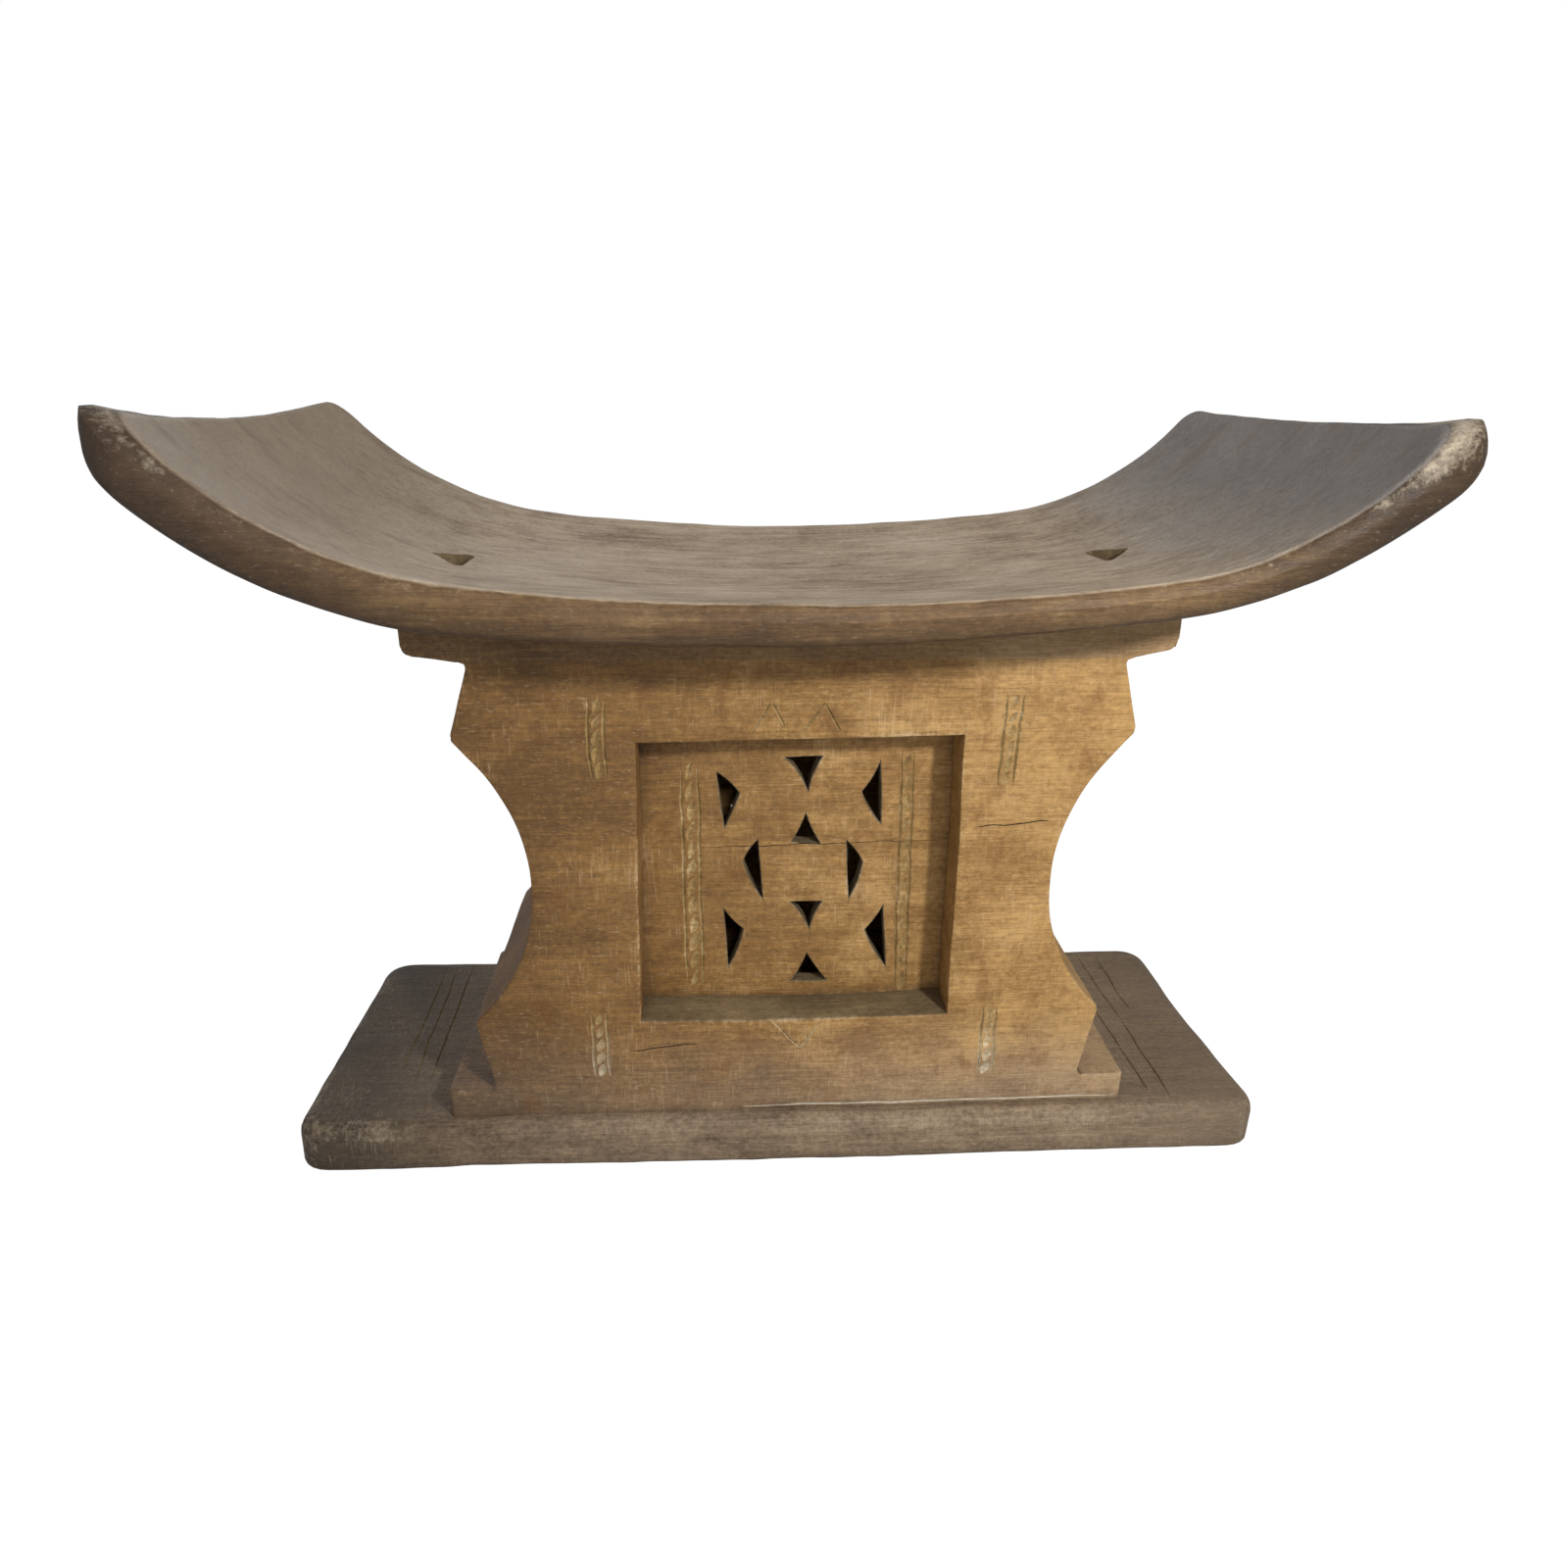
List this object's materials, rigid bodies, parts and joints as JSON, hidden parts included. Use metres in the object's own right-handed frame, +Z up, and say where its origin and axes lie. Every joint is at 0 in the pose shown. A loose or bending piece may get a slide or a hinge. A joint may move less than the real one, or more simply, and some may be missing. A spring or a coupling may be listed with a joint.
{
  "type": "ashanti stool",
  "caption": "Low carved wooden stool: flat base, plinth, waisted hollow column with pierced panels, thin platform and a wide seat curved up at both ends.",
  "frame": {"origin": "middle of the base's underside, on the floor that the stool stands on", "axes": "+Z up, +X along the seat to the right when the stool is seen from the front, +Y from the front face to the back face"},
  "size_m": [0.6348, 0.311, 0.4309],
  "materials": {
    "seat_wood": "weathered, dull, worn edges",
    "column_wood": "aged golden-brown patina, dull sheen",
    "base_wood": "grey-brown, worn and dusty"
  },
  "bodies": {
    "root": {"base": "base_wood", "plinth": "column_wood", "front_frame": "column_wood", "front_panel": "column_wood", "back_frame": "column_wood", "back_panel": "column_wood", "left_end_wall": "column_wood", "right_end_wall": "column_wood", "seat_platform": "column_wood", "seat": "seat_wood"}
  },
  "joints": []
}
